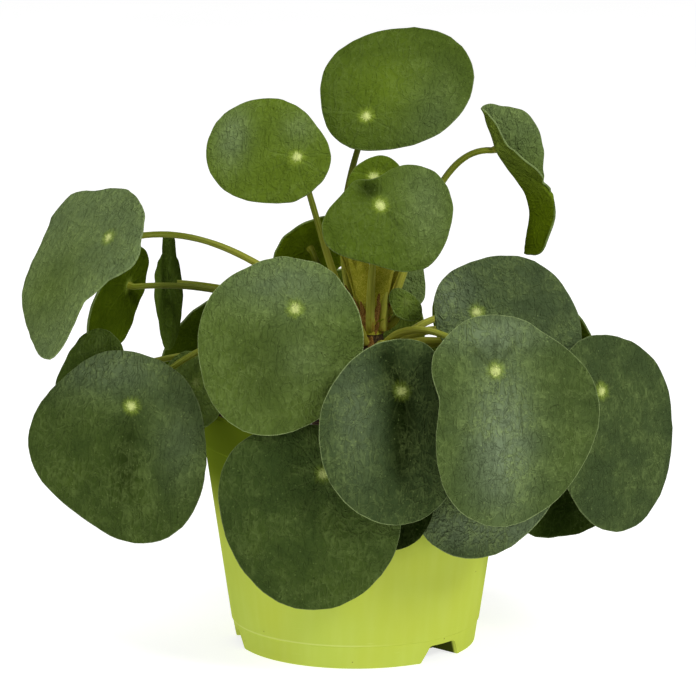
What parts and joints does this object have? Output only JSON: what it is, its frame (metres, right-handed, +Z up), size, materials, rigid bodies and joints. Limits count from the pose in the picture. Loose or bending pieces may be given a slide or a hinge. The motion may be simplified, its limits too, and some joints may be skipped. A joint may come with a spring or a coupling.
{
  "type": "potted money plant",
  "caption": "Small money plant with round leathery leaves on long stalks from a short woody stem, in a tapered plastic nursery pot.",
  "frame": {"origin": "middle of the pot's foot, on the surface that it stands on", "axes": "+Z up along the pot's axis; -Y towards the plant's front, as pictured; +X to the viewer's right"},
  "size_m": [0.2459, 0.1923, 0.2324],
  "materials": {
    "pot": "satin lime green plastic",
    "soil": "moist potting mix",
    "stem": "rough brown bark with leaf scars",
    "leaf": "satin leathery green"
  },
  "bodies": {
    "root": {"pot": "pot", "soil": "soil", "stem": "stem", "leaf_top": "leaf", "leaf_upper_left": "leaf", "leaf_upper_centre": "leaf", "leaf_small_top": "leaf", "leaf_folded_right": "leaf", "leaf_far_left": "leaf", "leaf_left_underside": "leaf", "leaf_left_folded": "leaf", "leaf_left_low_back": "leaf", "leaf_left_front": "leaf", "leaf_left_inner": "leaf", "leaf_centre_left": "leaf", "leaf_low_front": "leaf", "leaf_centre_low": "leaf", "leaf_low_inner": "leaf", "leaf_right_front": "leaf", "leaf_right_back": "leaf", "leaf_far_right": "leaf", "leaf_low_right": "leaf", "leaf_low_right_back": "leaf", "leaf_right_rear": "leaf", "leaf_back_left": "leaf", "leaf_back_centre": "leaf", "leaf_small_crown": "leaf", "leaf_rear_left": "leaf", "leaf_rear_centre": "leaf", "leaf_rear_right": "leaf", "leaf_rear_low_left": "leaf", "leaf_rear_low_right": "leaf"}
  },
  "joints": []
}
